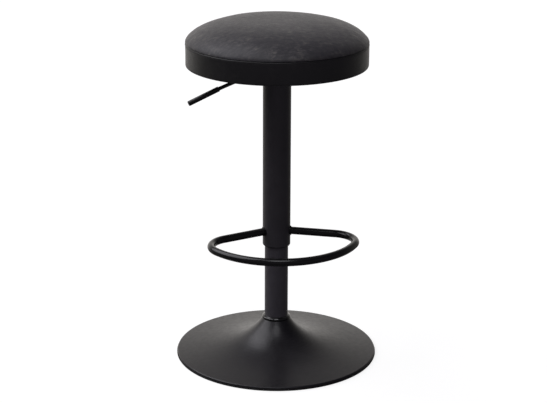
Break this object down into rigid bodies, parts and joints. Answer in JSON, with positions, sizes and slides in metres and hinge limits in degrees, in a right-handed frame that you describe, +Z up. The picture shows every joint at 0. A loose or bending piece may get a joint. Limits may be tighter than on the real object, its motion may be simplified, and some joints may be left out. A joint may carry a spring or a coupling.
{
  "type": "bar stool",
  "caption": "Round padded bar stool on a gas-spring column with a weighted trumpet base, a welded loop footrest and a side lever that frees the seat height.",
  "frame": {"origin": "centre of the base's floor ring, on the floor", "axes": "+Z up the column, -Y to the front where the footrest reaches out, -X to the sitter's right where the lever is"},
  "size_m": [0.4384, 0.4384, 0.7454],
  "materials": {
    "base_coat": "satin charcoal powder coat",
    "ring_plastic": "matt black moulding",
    "collar_plastic": "gloss black moulding",
    "raw_steel": "plain steel",
    "ballast_iron": "rough casting",
    "zinc_steel": "bright zinc",
    "column_coat": "satin black powder coat",
    "bush_plastic": "matt black moulding",
    "bearing_steel": "ground steel",
    "rod_chrome": "hard chrome",
    "cage_brass": "turned brass",
    "stop_rubber": "black rubber",
    "piston_aluminium": "turned",
    "spring_coat": "satin black paint",
    "footrest_coat": "gloss black powder coat",
    "pan_coat": "satin black powder coat",
    "seat_plywood": "sanded plywood",
    "dust_cloth": "black non-woven",
    "foam": "open-cell foam",
    "cover_vinyl": "coated black with a worn grey-brown mottle",
    "lever_coat": "satin black",
    "grip_plastic": "black moulding with a soft sheen"
  },
  "bodies": {
    "base": {"base_shell": "base_coat", "floor_ring": "ring_plastic", "neck_collar": "collar_plastic", "hub_tube": "raw_steel", "base_brace": "raw_steel", "ballast_ring": "ballast_iron", "ballast_bolts": "zinc_steel", "column_tube": "column_coat", "column_end_cap": "raw_steel", "guide_bush": "bush_plastic", "lower_bearing_race": "bearing_steel"},
    "spindle": {"piston_rod": "rod_chrome", "upper_bearing_race": "bearing_steel", "bearing_cage": "cage_brass", "bearing_balls": "bearing_steel", "bump_stop": "stop_rubber", "piston": "piston_aluminium", "piston_seal": "stop_rubber", "piston_nut": "zinc_steel", "clip_washer": "zinc_steel", "rod_clip": "raw_steel"},
    "carriage": {"pressure_tube": "spring_coat", "rod_guide": "bush_plastic", "rod_seal": "stop_rubber", "valve_body": "cage_brass", "cover_tube": "column_coat", "cover_tube_cap": "raw_steel", "glide_bush": "bush_plastic", "footrest": "footrest_coat", "footrest_welds": "footrest_coat", "taper_socket": "raw_steel", "seat_pan": "pan_coat", "lever_bracket": "pan_coat", "lever_pivot_pin": "zinc_steel", "seat_bolts": "zinc_steel", "bolt_washers": "zinc_steel", "tee_nuts": "zinc_steel", "seat_board": "seat_plywood", "dust_cover": "dust_cloth", "staples": "zinc_steel", "seat_foam": "foam", "cover_top_panel": "cover_vinyl", "cover_side_band": "cover_vinyl"},
    "lever": {"lever_rod": "lever_coat", "lever_grip": "grip_plastic"},
    "release_pin": {"release_pin": "zinc_steel"}
  },
  "joints": [
    {"name": "swivel", "type": "hinge", "parent": "base", "child": "spindle", "pos_m": [0, 0, 0.026], "axis": [0, 0, 1], "continuous": true},
    {"name": "seat_height", "type": "slide", "parent": "spindle", "child": "carriage", "axis": [0, 0, 1], "range_m": [-0.12, 0.1]},
    {"name": "lever_pull", "type": "hinge", "parent": "carriage", "child": "lever", "pos_m": [-0.03, 0, 0.629], "axis": [0, 1, 0], "range_deg": [0, 6], "stiffness_Nm_per_rad": 10},
    {"name": "valve_press", "type": "slide", "parent": "carriage", "child": "release_pin", "axis": [0, 0, 1], "range_m": [-0.0035, 0]}
  ],
  "couplings": [
    {"joint": "valve_press", "follows": "lever_pull", "m_per_rad": -0.03}
  ]
}
